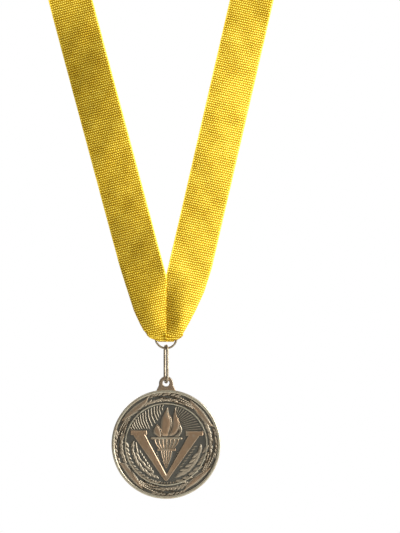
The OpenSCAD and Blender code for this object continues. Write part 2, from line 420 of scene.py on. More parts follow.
# %% [markdown]
# ## The lug
#
# A flat eye that grows out of the disc's edge with a wide foot. It starts as the edge of the hole:
# a bare circle whose copy is pulled out to the lug's outline. That gives a flat washer, which is
# then raised to its thickness and bevelled inside and out.

# %% Lug
HEAD_R, HOLE_R, LUG_T, LUG_RISE, LUG_SLOPE = 3.6, 1.75, 2.6, 3.5, 0.3
# How far the outline is from the hole's centre, by the angle from straight down
LUG_TURNS = [0, 20, 40, 50, 54, 58, 63, 69, 76, 90, 180]
LUG_REACH = [4.9, 5.2, 6.3, 6.6, 6.2, 5.4, 4.7, 4.2, 3.85, 3.7, HEAD_R]

bpy.ops.object.select_all(action="DESELECT")
bpy.ops.mesh.primitive_circle_add(vertices=96, radius=HOLE_R * MM)
lug = bpy.context.object
only(lug)
bpy.ops.object.mode_set(mode="EDIT")
bpy.ops.mesh.select_all(action="SELECT")
bpy.ops.mesh.extrude_region_move()
bpy.ops.object.mode_set(mode="OBJECT")
for corner in lug.data.vertices:
    if corner.select:
        turn = math.atan2(corner.co.y, corner.co.x)
        from_down = abs(math.degrees(math.remainder(turn + math.pi / 2, 2 * math.pi)))
        reach = np.interp(from_down, LUG_TURNS, LUG_REACH) * MM
        corner.co = (reach * math.cos(turn), reach * math.sin(turn), 0)
bpy.ops.object.mode_set(mode="EDIT")
bpy.ops.mesh.select_all(action="SELECT")
raise_by(LUG_T * MM)
bpy.ops.mesh.select_all(action="SELECT")
bpy.ops.transform.translate(value=(0, (RADIUS + LUG_RISE) * MM, -LUG_T / 2 * MM))
bpy.ops.mesh.normals_make_consistent(inside=False)
pick_edges(lug, lambda corner: True)
bpy.ops.mesh.select_all(action="DESELECT")
bpy.ops.mesh.edges_select_sharp(sharpness=math.radians(60))
bpy.ops.mesh.bevel(offset=LUG_SLOPE * MM, segments=3, profile=0.5)
done(lug, 40)
print("lug:", len(lug.data.polygons), "faces")

# %% [markdown]
# ## The emblem
#
# A wide V with slab serifs lies behind a flaming torch. The V is one cut out with a flat, polished
# face. Each tongue of flame is a loft with a nearly flat face, and a thin bright line runs up its
# right edge, where the real die leaves a sharp ridge.

# %% The V
V_OUTLINE = [
    (-18.6, 7.3), (-10.05, 7.3), (-10.05, 4.9), (-11.0, 4.9), (0.1, -15.9), (11.6, 4.5),
    (10.3, 4.5), (10.3, 6.9), (19.4, 6.9), (19.4, 4.5), (17.5, 4.5), (0.6, -19.1), (-0.6, -19.1),
    (-17.2, 4.9), (-18.6, 4.9),
]
victory = cut_out(V_OUTLINE, FIELD - FOOT, [(0, 0.5), (0.22, 0.16), (0.4, -0.05)])
print("V:", len(victory.data.polygons), "faces")

# %% Flames
flames = [
    loft([(-3.6, 3.6), (-6.4, 5.4), (-7.1, 7.2), (-6.0, 9.2), (-4.8, 10.8)],
         [(-2.6, 3.6), (-2.4, 5.4), (-2.6, 7.2), (-3.8, 9.2), (-4.7, 10.8)],
         0.56, crest=0.2, flat=6.0),
    loft([(3.4, 3.8), (6.2, 6.2), (6.5, 8.4), (5.4, 10.4)],
         [(6.9, 3.8), (8.3, 6.4), (8.4, 8.4), (7.0, 11.4)], 0.5, crest=0.5, flat=4.0),
    loft([(0.6, 4.0), (2.4, 7.4), (3.0, 11.0), (3.2, 14.4), (4.1, 17.3), (4.9, 19.7)],
         [(2.9, 4.0), (6.0, 6.5), (7.5, 9.6), (6.9, 12.3), (5.4, 15.4), (5.0, 19.7)],
         0.58, crest=0.2, flat=6.0),
    loft([(-2.0, 3.8), (-2.9, 7.25), (-3.4, 10.4), (-2.7, 13.8), (-0.5, 17.7), (0.8, 19.5)],
         [(1.0, 3.8), (1.9, 6.5), (3.2, 10.5), (2.6, 13.4), (1.2, 16.2), (0.9, 19.5)],
         0.64, crest=0.2, flat=6.0),
    strand([(1.0, 4.2), (1.9, 6.6), (3.1, 10.4), (2.5, 13.6), (1.2, 16.3), (0.9, 19.2)],
           [0.16, 0.2, 0.2, 0.14], 0.3, low=FIELD + 0.4),
    strand([(2.9, 4.2), (5.9, 6.6), (7.3, 9.6), (6.7, 12.4), (5.3, 15.4), (5.0, 19.3)],
           [0.16, 0.2, 0.2, 0.14], 0.3, low=FIELD + 0.3),
    strand([(-2.5, 3.8), (-2.3, 5.6), (-2.5, 7.4), (-3.8, 9.3), (-4.7, 10.5)],
           [0.14, 0.18, 0.12], 0.3, low=FIELD + 0.3),
]
print("flames:", len(flames), "forms")

# %% [markdown]
# The torch itself is a bowl over a handle that narrows to a point. Both are shallow lofts, and the
# flutes on them are thin strands that follow the same slopes. Two rows of short dashes fill the
# field beside the handle.

# %% Torch
FLUTE_H, FLUTES_AT = 0.3, FIELD + 0.34
BOWL_RIM = [(-8.0, 3.7), (8.4, 3.7), (8.4, 2.7), (-8.0, 2.7)]
BAND = [(-4.6, -2.2), (5.1, -2.2), (5.1, -3.4), (-4.6, -3.4)]
torch = [
    cut_out(BOWL_RIM, FIELD - FOOT, [(0, 0.6), (0.2, 0.12)]),
    cut_out(BAND, FIELD - FOOT, [(0, 0.55), (0.2, 0.12)]),
    loft([(-7.4, 2.8), (-6.4, 0.2), (-4.0, -2.4)], [(7.8, 2.8), (6.8, 0.2), (4.5, -2.4)],
         0.42, flat=6.0),
    loft([(-3.6, -3.2), (-2.7, -7.0), (-0.3, -12.8)], [(4.1, -3.2), (3.2, -7.0), (0.4, -12.8)],
         0.45, flat=4.0),
]
for k in range(7):
    top = -5.9 + 2.05 * k
    foot = top * 0.56
    torch.append(strand([(top, 2.7), ((top + foot) / 2 + 0.12 * top, 0.4), (foot, -2.3)],
                        [0.42, 0.34, 0.26], FLUTE_H, low=FLUTES_AT))
for k in range(5):
    top = -2.6 + 1.35 * k
    torch.append(strand([(top, -3.2), (top * 0.72 + 0.05, -6.8), (top * 0.1, -12.6)],
                        [0.34, 0.3, 0.1], FLUTE_H, low=FLUTES_AT))
for k in range(4):
    down = 1.5 * k
    for near, far in (((5.0 - 0.4 * k), (6.6 - 0.62 * k)), ((-4.2 + 0.4 * k), (-5.6 + 0.62 * k))):
        torch.append(strand([(near, -5.0 - down), (far, -3.6 - down)],
                            [0.12, 0.3, 0.12], 0.42, across=4, along=4))
print("torch:", len(torch), "forms")

# %% [markdown]
# ## Rays
#
# Rays stream outwards from behind the flames. Those on the left are bold and bend like combed
# hair, and those on the right are finer and nearly straight.

# %% Rays
rays = []
LEFT_RAYS, RIGHT_RAYS = 14, 13
LEFT_RAY_H, RIGHT_RAY_H, RAY_END = 0.5, 0.42, 20.9
for k in range(LEFT_RAYS):
    t = k / (LEFT_RAYS - 1)
    steps = [0, 0.55, 0.75, 0.9, 1]
    foot_x = np.interp(t, steps, [-17.6, -8.2, -4.4, -3.0, -1.6])
    foot_y = np.interp(t, steps, [7.6, 7.6, 11.6, 14.6, 17.4])
    tip = on_arc(RAY_END, np.interp(t, [0, 1], [154, 94]))
    bow = np.interp(t, [0, 0.5, 1], [0.2, 0.9, 0.7])
    middle = ((foot_x + tip[0]) / 2 - bow, (foot_y + tip[1]) / 2)
    rays.append(strand([(foot_x, foot_y), middle, tip], [0.2, 0.46, 0.52, 0.5, 0.48], LEFT_RAY_H,
                       across=4, along=8))
for k in range(RIGHT_RAYS):
    t = k / (RIGHT_RAYS - 1)
    foot_x = np.interp(t, [0, 0.4, 0.75, 1], [5.2, 6.6, 7.9, 8.9])
    foot_y = np.interp(t, [0, 0.4, 0.75, 1], [17.0, 12.8, 10.0, 7.4])
    tip = on_arc(RAY_END, np.interp(t, [0, 1], [76, 23]))
    rays.append(strand([(foot_x, foot_y), tip], [0.2, 0.36, 0.42, 0.44], RIGHT_RAY_H,
                       across=4, along=6))
print("rays:", len(rays))

# %% [markdown]
# ## Laurel and grain
#
# The rest of the field is filled with leaves and grains. A leaf and a grain are each modelled
# once, pointing along X, and copied round the medal. Inside the ring, laurel climbs both sides
# under the V. Outside it, four ears of grain chase each other round the rim.

# %% One leaf, one grain
LEAF_H, GRAIN_H = 0.52, 0.54
LEAF_EDGE = [(0, 0), (0.35, 0.28), (0.7, 0.24), (1, 0)]
GRAIN_EDGE = [(0, 0), (0.15, 0.3), (0.5, 0.42), (0.85, 0.3), (1, 0)]


def mirrored(edge):
    return [(x, -y) for x, y in edge]


leaf = loft(LEAF_EDGE, mirrored(LEAF_EDGE), LEAF_H, low=0, across=4, along=6, crest=0.2)
grain = loft(GRAIN_EDGE, mirrored(GRAIN_EDGE), GRAIN_H, low=0, across=4, along=6)


def sprig(source, place, heading, length, width=None, low=0.0):
    """A copy of the leaf or the grain that starts at a place and points along a heading."""
    size = Matrix.Diagonal((length, width or length, 1, 1))
    turn = Matrix.Rotation(math.radians(heading), 4, "Z")
    there = Matrix.Translation(Vector((place[0], place[1], FIELD + low)) * MM)
    return copy_at(source, there @ turn @ size)


print("leaf:", len(leaf.data.polygons), "faces, grain:", len(grain.data.polygons), "faces")

# %% Laurel inside the ring
laurel = []
hand = random.Random(12)
# Each row of leaves: its radius, where it starts and ends, how many, their lean, length and width
LEFT_ROWS = ((19.6, 262, 186, 13, 30, 4.6, 3.2), (18.6, 259, 186, 12, -24, 4.6, 3.2),
             (15.7, 247, 192, 7, -4, 5.0, 2.7))
RIGHT_ROWS = ((19.3, 284, 345, 7, 20, 6.4, 4.4), (18.2, 284, 340, 7, -16, 6.8, 4.6),
              (15.2, 296, 330, 4, 22, 5.4, 3.6))
for side, rows in ((-1, LEFT_ROWS), (1, RIGHT_ROWS)):
    for radius, first, last, count, lean, length, width in rows:
        for at in np.linspace(first, last, count):
            heading = at + side * 90 - side * lean + hand.uniform(-6, 6)
            laurel.append(sprig(leaf, on_arc(radius, at), heading, length, width))
print("laurel rows:", len(laurel), "leaves")

# %% [markdown]
# Small leaves fill the wedges between the laurel and the V, half sunk so that they stay quiet, and
# a row of beads closes the bottom of the ring. Their places follow the V's two outer edges.

# %% Small leaves and beads
SUNK, SPACING = -0.1, 1.5
# How far the V's right outer edge goes outwards as it climbs, and how far the leaves stand off it
V_SLOPE, STAND_OFF = 0.716, 0.9
for k in range(8):
    beside_left = (-13.9 + 0.95 * k, -2.6 - SPACING * k)
    laurel.append(sprig(leaf, beside_left, -76, 2.6, 2.4, SUNK))
    down = -1.5 - SPACING * k
    beside_right = (0.6 + V_SLOPE * (down + 19.1) + STAND_OFF, down)
    laurel.append(sprig(leaf, beside_right, 18, 2.4, 2.2, SUNK))
for k in range(16):
    at = 240 + 4.4 * k
    laurel.append(sprig(grain, on_arc(20.3, at), at + 90, 0.9, 1.7))
print("laurel, small leaves and beads:", len(laurel), "forms")

# %% Four ears of grain outside the ring
ears = []
FIRST_EAR = 121
VEINS = ((21.9, -66, 26.5, -26), (21.9, -50, 26.6, -10), (22.0, 2, 26.5, 36))
for quarter in range(4):
    start = FIRST_EAR + 90 * quarter
    for row, (radius, tilt) in enumerate(((22.7, 22), (24.2, -22), (25.7, 22))):
        for k in range(8):
            at = start - 3 * row - 4.9 * k
            heading = at - 90 + tilt + hand.uniform(-9, 9)
            ears.append(sprig(leaf, on_arc(radius, at), heading, hand.uniform(3.4, 4.4), 3.3))
        for k in range(11 - 2 * abs(row - 1)):
            at = start - 41 - 1.5 * (row % 2) - 2.9 * k
            inwards = 0.11 * k * (row - 1)
            ears.append(sprig(grain, on_arc(radius - inwards, at), at - 100, 1.5, 1.7))
    ears.append(strand([on_arc(r, start + a) for r, a in
                        ((26.5, 32), (25.0, 22), (24.3, 10), (24.7, -3), (26.2, -10))],
                       [0.15, 1.5, 2.1, 1.5, 0.15], 0.56, along=16, flat=4.0))
    for r0, a0, r1, a1 in VEINS:
        ears.append(strand([on_arc(np.interp(t, [0, 1], [r0, r1]), start + a0 + (a1 - a0) * t)
                            for t in (0, 0.25, 0.5, 0.75, 1)], [0.12, 0.22, 0.12], 0.66,
                           across=4, along=16))
bpy.data.objects.remove(leaf)
bpy.data.objects.remove(grain)
print("ears of grain:", len(ears), "forms")

# %% [markdown]
# The real medal comes out of its mould as one piece, so all the forms are joined to the disc, and
# the whole is stood up where the frame has it.

# %% Medal in one piece
casting = join("medal_cast_body", [disc, lug, victory, *flames, *torch, *rays, *laurel, *ears])
stand_up(casting)
print("medal:", len(casting.data.polygons), "faces")

# %% [markdown]
# ## The engraving plate
#
# The back of the medal takes a gloss black disc. On a bought medal it carries the giver's words,
# so here it carries a plain ornament instead: a five pointed star between ruled lines, inside two
# arcs of laurel. The plate is a cylinder with a fine bevel, and its ornament is a thin bronze
# layer on its face.

# %% Plate
PLATE_T = (plate_high.y - plate_low.y) / MM
PLATE_BEVEL = 0.12
plate_back = (plate_high.y - DISC.y) / MM

bpy.ops.object.select_all(action="DESELECT")
bpy.ops.mesh.primitive_cylinder_add(
    vertices=128, radius=PLATE_R * MM, depth=PLATE_T * MM,
    location=(0, 0, (PLATE_T / 2 - plate_back) * MM)
)
plate = bpy.context.object
bpy.ops.object.transform_apply(location=True, rotation=True, scale=True)
plate.name = plate.data.name = "engraving_plate_gloss"
pick_edges(plate, lambda corner: corner.z / MM < 0.02 - plate_back)
bpy.ops.mesh.bevel(offset=PLATE_BEVEL * MM, segments=3, profile=0.5)
stand_up(done(plate, 40))
print(f"plate {2 * PLATE_R:.1f} mm across, {PLATE_T:.2f} mm thick")

# %% Plate ornament
LAYER = 0.06


def turned_over(piece):
    """A form that was made on the front of the bench, laid on the back face of the plate."""
    piece.data.transform(
        Matrix.Translation((0, 0, -plate_back * MM)) @ Matrix.Rotation(math.pi, 4, "Y")
    )
    return piece


def star(points, outer, inner):
    return [on_arc(outer if k % 2 == 0 else inner, 90 + 180 * k / points)
            for k in range(2 * points)]


def bar(x, y, length, width):
    return [(x - length / 2, y - width / 2), (x + length / 2, y - width / 2),
            (x + length / 2, y + width / 2), (x - length / 2, y + width / 2)]


STAR_OUT, STAR_IN = 5.4, 2.1
RULES = ((10.2, 22), (-9.4, 26), (-12.4, 18))
ornament = [cut_out(star(5, STAR_OUT, STAR_IN), 0, [(0, LAYER)])]
for y, length in RULES:
    ornament.append(cut_out(bar(0, y, length, 0.5), 0, [(0, LAYER)]))
print("star and rules:", len(ornament), "forms")

# %% Plate laurel
SPROUTS, LAUREL_R, SPROUT_LEAN, SPROUT_LEN = 15, 21.5, 32, 3.2
sprout = cut_out([(0, 0), (0.35, 0.24), (0.7, 0.2), (1, 0), (0.7, -0.2), (0.35, -0.24)], 0,
                 [(0, LAYER * MM)])
sprout.data.transform(Matrix.Diagonal((1, 1, 1 / MM, 1)))
for side in (-1, 1):
    for k in range(SPROUTS):
        at = 90 + side * (26 + 9 * k)
        for lean in (-SPROUT_LEAN, SPROUT_LEAN):
            root = on_arc(LAUREL_R + side * lean * 0.01, at)
            there = Matrix.Translation(Vector((*root, 0)) * MM)
            turn = Matrix.Rotation(math.radians(at - side * 90 + lean), 4, "Z")
            size = Matrix.Diagonal((SPROUT_LEN, SPROUT_LEN, 1, 1))
            ornament.append(copy_at(sprout, there @ turn @ size))
bpy.data.objects.remove(sprout)
ornament = turned_over(join("engraving_plate_ornament", ornament))
stand_up(done(ornament, 30))
print("plate ornament:", len(ornament.data.polygons), "faces")

# %% [markdown]
# ## Wire
#
# The ring and the long link are both bent from round wire. A torus already is a wire bent into a
# loop, so each starts as one, and its cross sections are then moved along to the loop's own line.
# The link's ends meet in a butt joint that is never quite closed.

# %% Wire loops
ROUND = 16
PINCH = 0.35


def wire_loop(name, line, wire, gap_at=None):
    """Closed wire along a list of places in the XZ plane, which run round it anticlockwise."""
    bpy.ops.object.select_all(action="DESELECT")
    bpy.ops.mesh.primitive_torus_add(
        major_segments=len(line), minor_segments=ROUND, major_radius=1, minor_radius=0.1
    )
    piece = bpy.context.object
    piece.name = piece.data.name = name
    line = np.array(line, float)
    ahead = np.roll(line, -1, axis=0) - np.roll(line, 1, axis=0)
    ahead /= np.linalg.norm(ahead, axis=1)[:, None]
    for corner in piece.data.vertices:
        i, j = divmod(corner.index, ROUND)
        turn = 2 * math.pi * j / ROUND
        pinch = 1 - PINCH * (gap_at is not None and i == gap_at)
        out = math.cos(turn) * wire / 2 * pinch
        deep = math.sin(turn) * wire / 2 * pinch
        x, z = line[i] + out * np.array([ahead[i][1], -ahead[i][0]])
        corner.co = (x * MM, deep * MM, z * MM)
    return done(piece, 60)


def arc_line(middle, radius, first, last, count):
    return [(middle[0] + on_arc(radius, a)[0], middle[1] + on_arc(radius, a)[1])
            for a in np.linspace(first, last, count)]


# %% D ring
WIRE = RING_WIRE / MM
ring_r = (ring_high.x - ring_low.x) / MM / 2 - WIRE / 2
ring_side = (ring_high.z - ring_low.z) / MM - WIRE - ring_r
CORNER_R = 1.0
bar_half = ring_r - CORNER_R
ring_line = (
    arc_line((0, -ring_side), ring_r, 180, 360, 44)
    + arc_line((bar_half, -CORNER_R), CORNER_R, 0, 90, 8)
    + [(x, 0) for x in np.linspace(bar_half, -bar_half, 12)[1:-1]]
    + arc_line((-bar_half, -CORNER_R), CORNER_R, 90, 180, 8)
)
ring = wire_loop("ring_wire", ring_line, WIRE)
ring.data.transform(Matrix.Translation(BAR))
print(f"ring {2 * ring_r + WIRE:.1f} mm wide")

# %% Long link
LINK_WIRE, LINK_TURN = 1.3, 16
link_r = 2.6
link_len = (link_high.z - link_low.z) / MM
straight = link_len - LINK_WIRE - 2 * link_r
half_link = straight / 2
right_side = list(np.linspace(-half_link, half_link, 15))
GAP = 0.12
right_side[7:8] = [-GAP / 2, -GAP / 6, GAP / 6, GAP / 2]
link_line = (
    arc_line((0, -half_link), link_r, 180, 360, 28)[:-1]
    + [(link_r, z) for z in right_side]
    + arc_line((0, half_link), link_r, 0, 180, 28)[1:]
    + [(-link_r, z) for z in np.linspace(half_link, -half_link, 9)[1:-1]]
)
link = wire_loop("link_wire", link_line, LINK_WIRE, gap_at=27 + 8)
link_middle = Vector((0, DISC.y, (link_low.z + link_high.z) / 2))
link.data.transform(Matrix.Translation(link_middle)
                    @ Matrix.Rotation(math.radians(90 + LINK_TURN), 4, "Z"))
print(f"link {link_len:.1f} mm long")

# %% [markdown]
# ## The ribbon
#
# One woven strip, 22 mm wide and 813 mm long, goes round the neck. Its ends meet in a V: each
# leans towards the other, turns its edges under, and is drawn together over the ring's bar, round
# it and up behind as a hem. Cloth simulation would have to be held in place nearly everywhere
# here, because the strip is taut and its shape is set by sewing. So it is modelled directly: a
# grid, one column per few threads, is laid along the strip's own path, and bent with hardly any
# stretch. The path is worked out in millimetres from the ring's bar, for the left side and the
# right side in the same way.

# %% The ribbon's path
RIBBON_W, RIBBON_T = 22.2, 0.8
SEAM_H, SHOULDER, PULL, NAPE, DEPTH = 31.2, 188.0, 58.0, 288.0, 125.0
LEG_Y = -1.05
HEM_H, DROP = 13.0, 1.9
TILT = {-1: math.radians(15), 1: math.radians(13)}
# How far the outer edge is turned under, by height above the bar
GATHER = {
    -1: ([1, 6, 13, 25, 40], [4.4, 3.0, 1.6, 0.9, 0]),
    1: ([1, 6, 13, 23, 36], [7.2, 5.6, 3.5, 1.2, 0]),
}
# How much the outer edge lies back, as a slope, by height above the bar
LEAN_BACK = {
    -1: ([2, 48, 90, 140, 188], [0, 0.28, 0.12, 0.37, 0]),
    1: ([2, 44, 72, 125, 188], [0, 0.23, 0.14, 0.27, 0]),
}
TURN_LENGTH = math.pi * abs(LEG_Y)
PATH_END = DROP + TURN_LENGTH + DROP + HEM_H
# Half width past the bar, by the length of strip that has gone by
PAST = [0, 0.6, 1.2, 1.7, 2.1, 2.37, DROP + TURN_LENGTH + DROP, PATH_END]
PAST_HALF = {
    -1: [9.9, 9.3, 8.5, 7.6, 6.2, 4.3, 4.2, 5.4],
    1: [8.9, 8.4, 7.8, 7.0, 6.0, 4.2, 4.2, 5.4],
}


def leg_middle(side, z):
    """How far the strip's centre line is from the seam's plane, measured outwards."""
    lean = TILT[side]
    return RIBBON_W / 2 / math.cos(lean) + math.tan(lean) * (z - SEAM_H)


def step(value, low, high):
    """Rises smoothly from 0 at low to 1 at high, or falls if high is below low."""
    t = min(max((value - low) / (high - low), 0), 1)
    return t * t * (3 - 2 * t)


def eased(value, places, amounts):
    """An amount by place, which moves smoothly from each one given to the next."""
    i = int(np.clip(np.searchsorted(places, value) - 1, 0, len(places) - 2))
    return amounts[i] + (amounts[i + 1] - amounts[i]) * step(value, places[i], places[i + 1])


def edge_at(side, z):
    """Where the visible outer edge is."""
    if z < 0:
        return float(np.interp(-z, PAST, PAST_HALF[side]))
    outer = leg_middle(side, z) + RIBBON_W / 2 / math.cos(TILT[side])
    plain = outer - float(np.interp(z, *GATHER[side]))
    return plain + (PAST_HALF[side][0] - plain) * step(z, 3, 0)


print(f"the V is {edge_at(-1, SEAM_H) + edge_at(1, SEAM_H):.1f} mm wide at the top of its seam")

# %% [markdown]
# Three things happen across the strip in the V. The inner edge is folded back along the seam, the
# outer edge rolls under, more and more towards the bar, and what is left between them bellies
# forward. A roll is the same sum for both edges: so much cloth past a line goes round a radius.

# %% Folds and belly
FOLD_R, ALLOWANCE, FOLDS_BELOW = 0.45, 3.0, 45
# How tightly the outer edge rolls, and how far round it may go, by height above the bar
ROLL_R = ([0, 30, FOLDS_BELOW], [0.75, 1.8, 3.5])
MOST_TURN = ([0, 1.5, 5], [0.05, 1.0, 9.0])
RIDGE, VALLEY = 0.55, 0.7
BELLY = {-1: 2.5, 1: 2.7}


def rolled(past, radius):
    """How far cloth still reaches, and how deep it lies, that goes past a line round a radius."""
    turn = past / radius
    reach = radius * math.sin(min(turn, math.pi)) - radius * max(turn - math.pi, 0)
    return reach, radius * (1 - math.cos(min(turn, math.pi)))


def relief(side, x, z):
    """How far the cloth of the V stands forward of its plane."""
    share = min(max(x / edge_at(side, z), 0), 1)
    crown = 0.8 if side < 0 else float(np.interp(z, [6, 22], [1.4, 0.85]))
    belly = math.sin(math.pi * share**crown) * step(z, 40, 12) * step(z, -0.5, 7)
    if side < 0:
        ridge = math.exp(-((share / 0.1) ** 2)) * step(z, 12, 5)
        return RIDGE * ridge + BELLY[side] * belly
    valley = math.exp(-((share / 0.3) ** 2)) * step(z, 36, 27) * step(z, 0.8, 3.5)
    return BELLY[side] * belly - VALLEY * valley


def span(side, height):
    """The strip across: its lowest and highest place, its spread, where its roll starts, and the
    roll's radius, which is nothing where it doesn't roll."""
    lean = TILT[side]
    middle = leg_middle(side, max(height, 0))
    spread = math.cos(lean) + (1 - step(height, 40, 76)) * math.tan(lean) * math.sin(lean)
    edge = edge_at(side, height)
    roll_r = float(np.interp(height, *ROLL_R))
    gather = float(np.interp(height, *GATHER[side])) if height > 0 else 0
    turned = min((6 * gather / roll_r) ** (1 / 3), 1 + gather / roll_r)
    turned = min(turned, float(np.interp(height, *MOST_TURN)))
    flat_end = edge - roll_r * math.sin(min(turned, math.pi / 2))
    low, high = -RIBBON_W / 2, RIBBON_W / 2
    if height < FOLDS_BELOW:
        allowance = ALLOWANCE * step(height, 1.2, 5) + 0.1
        low = max(low, (-allowance - middle) / spread)
        if gather:
            high = min(high, (flat_end + roll_r * turned - middle) / spread)
        elif height <= 0:
            high = (edge_at(side, 0) - middle) / spread
    return low, high, spread, flat_end, roll_r if gather else 0


# %% [markdown]
# A leg that hangs is never a flat board. Its long edges bow back, it leans back more at some
# heights than at others, and a fine ripple runs through it. The selvage on the lamp's side of each
# leg is rounded, so that it can catch the light as a line.

# %% Legs in front
RIPPLE, FINE_RIPPLE, BOW = 0.22, 0.16, 0.9
SELVAGE_ROUND, SELVAGE_DEEP = 0.9, 0.5


def hang(side, u, out, height, spread):
    """How far a hanging leg's cloth lies behind its plane."""
    bow = BOW * (2 * u / RIBBON_W) ** 2 * step(height, 34, 60) * step(height, 186, 150)
    inside = max(0, leg_middle(side, max(height, 0)) - RIBBON_W / 2 * spread)
    pivot = inside + RIBBON_W / 2 * step(height, 36, 90)
    bow += eased(height, *LEAN_BACK[side]) * (out - pivot)
    ripple = RIPPLE * math.sin(height / 7.3 + side) * math.sin(u / 5.1 + height / 16)
    ripple += FINE_RIPPLE * math.sin(height / 3.1 + 2 * side + u / 3.0)
    bow += ripple * step(height, 5, 30) * step(height, 188, 170)
    past_round = max(0, 1 - (RIBBON_W / 2 - side * u) / SELVAGE_ROUND)
    return bow + SELVAGE_DEEP * past_round**2 * step(height, 22, 30) * step(height, 188, 176)


def front(side, u_share, height):
    """A place on the leg, and the true place on the strip that it comes from."""
    lean = TILT[side]
    square = step(height, 40, 76)
    low, high, spread, flat_end, roll_r = span(side, height)
    u = low + (high - low) * u_share
    out = leg_middle(side, max(height, 0)) + u * spread
    z = height - square * u * math.sin(lean)
    along = height / math.cos(lean) + (1 - square) * u * math.tan(lean)
    if height <= 0:
        out *= edge_at(side, height) / edge_at(side, 0)
    deep = 0.0
    if roll_r and out > flat_end:
        reach, deep = rolled(out - flat_end, roll_r)
        out = flat_end + reach
    elif 1.2 < height < SEAM_H + 1 and out < FOLD_R:
        reach, deep = rolled(FOLD_R - out, FOLD_R)
        out = FOLD_R - reach
    if height < SEAM_H + 2:
        deep -= relief(side, out, height)
    deep += hang(side, u, out, height, spread)
    return Vector((side * out, LEG_Y + deep, z)), (u, along)


# %% [markdown]
# Past the bar the strip goes down in front of it, half way round below it, and up the back of the
# V as the hem.

# %% Behind the bar
UNDER = DROP + TURN_LENGTH
HEM_TUCK = 0.3


def behind(side, u_share, passed):
    """A place on the strip after a length of it has passed the bar."""
    place, (u, along) = front(side, u_share, -passed)
    if passed <= DROP:
        place.z = -passed
    elif passed < UNDER:
        turn = (passed - DROP) / abs(LEG_Y)
        fade = math.cos(turn / 2) ** 2
        place.y = LEG_Y * math.cos(turn) + (place.y - LEG_Y) * fade
        place.z = -DROP + LEG_Y * math.sin(turn)
    else:
        place.z = passed - UNDER - DROP
        place.y = -LEG_Y - HEM_TUCK * step(place.z, 0, 5)
    return place, (u, -passed)


# %% [markdown]
# Over the shoulder the centre line is one Bezier curve. The cloth's face is kept square to the
# way the curve bends, so the strip twists as it must but never bends in its own plane.

# %% Over the shoulder


def over_shoulder(side, u_share, t):
    reach = (SHOULDER, SHOULDER + PULL, NAPE)
    ends = [Vector((side * leg_middle(side, z), LEG_Y, z)) for z in reach]
    ends[2].y += DEPTH
    ends.append(Vector((0, LEG_Y + DEPTH, NAPE)))
    p0, p1, p2, p3 = ends
    s = 1 - t
    place = s**3 * p0 + 3 * s * s * t * p1 + 3 * s * t * t * p2 + t**3 * p3
    ahead = (s * s * (p1 - p0) + 2 * s * t * (p2 - p1) + t * t * (p3 - p2)).normalized()
    curving = s * (p2 - 2 * p1 + p0) + t * (p3 - 2 * p2 + p1)
    outward = (curving.dot(ahead) * ahead - curving).normalized()
    u = RIBBON_W * (u_share - 0.5)
    across = ahead.cross(outward) * side
    return place + across * u, u, place


print(f"the nape is {NAPE - SHOULDER:.0f} mm above the shoulders and {DEPTH:.0f} mm behind the V")

# %% [markdown]
# The rows of the grid are close together in the V, where the cloth folds, and wider over the
# shoulders. Each corner keeps its own place on the flat strip as a UV, in millimetres, which is
# what the weave is drawn from.

# %% Rows and columns
COLUMNS, FINE, COARSE = 44, 0.6, 2.0
# How much the columns crowd towards the two edges
CROWDING = 0.6
shares = [k / COLUMNS - CROWDING * math.sin(2 * math.pi * k / COLUMNS) / (2 * math.pi)
          for k in range(COLUMNS + 1)]
past_rows = list(np.arange(PATH_END, 0.3, -FINE))
v_rows = list(np.arange(0.0, 36, FINE)) + list(np.arange(36, SHOULDER, COARSE))
BEND_ROWS = 72


def side_rows(side):
    """Rows of (place, UV) from the hem to the nape."""
    rows = [[behind(side, share, passed) for share in shares] for passed in past_rows]
    rows += [[front(side, share, height) for share in shares] for height in v_rows]
    start = SHOULDER / math.cos(TILT[side])
    gone, last = 0.0, None
    for k in range(BEND_ROWS + 1):
        row = [over_shoulder(side, share, k / BEND_ROWS) for share in shares]
        middle = row[0][2]
        gone += (middle - last).length if last else 0
        last = middle
        rows.append([(place, (u, start + gone)) for place, u, _ in row])
    return rows, start + gone


left_rows, left_length = side_rows(-1)
right_rows, right_length = side_rows(1)
right_rows = [[(place, (u, left_length + right_length - along)) for place, (u, along) in row]
              for row in right_rows]
rows = left_rows + right_rows[-2::-1]
print(f"{len(rows)} rows, half lengths {left_length:.1f} and {right_length:.1f} mm")

# %% Ribbon
bpy.ops.object.select_all(action="DESELECT")
bpy.ops.mesh.primitive_grid_add(x_subdivisions=COLUMNS, y_subdivisions=len(rows) - 1, size=2)
ribbon = bpy.context.object
ribbon.name = ribbon.data.name = "ribbon_woven"
flat_places = [corner for row in rows for corner in row]
for corner, (place, _) in zip(ribbon.data.vertices, flat_places):
    corner.co = BAR + place * MM
uv = ribbon.data.uv_layers.active.data
for loop in ribbon.data.loops:
    uv[loop.index].uv = flat_places[loop.vertex_index][1]
ribbon.data.update()
only(ribbon)
thicken = ribbon.modifiers.new("thickness", "SOLIDIFY")
thicken.thickness = RIBBON_T * MM
thicken.offset = 0
thicken.use_even_offset = False
thicken.use_rim = True
bpy.ops.object.modifier_apply(modifier=thicken.name)
done(ribbon, 50)
print("ribbon:", len(ribbon.data.polygons), "faces")

# %% [markdown]
# ## Stitching
#
# The thread shows only at the back. Two rows of stitches hold the hem, and a ladder of longer
# ones closes the seam above it. Every stitch is a short rod with rounded ends, and its ends are
# pulled into the cloth.

# %% Stitches
THREAD, STITCH, PITCH, LADDER = 0.46, 1.5, 2.0, 3.0
HEM_FACE, SEAM_FACE, SAG, ROUNDED = 1.15, 0.27, 0.12, 0.35


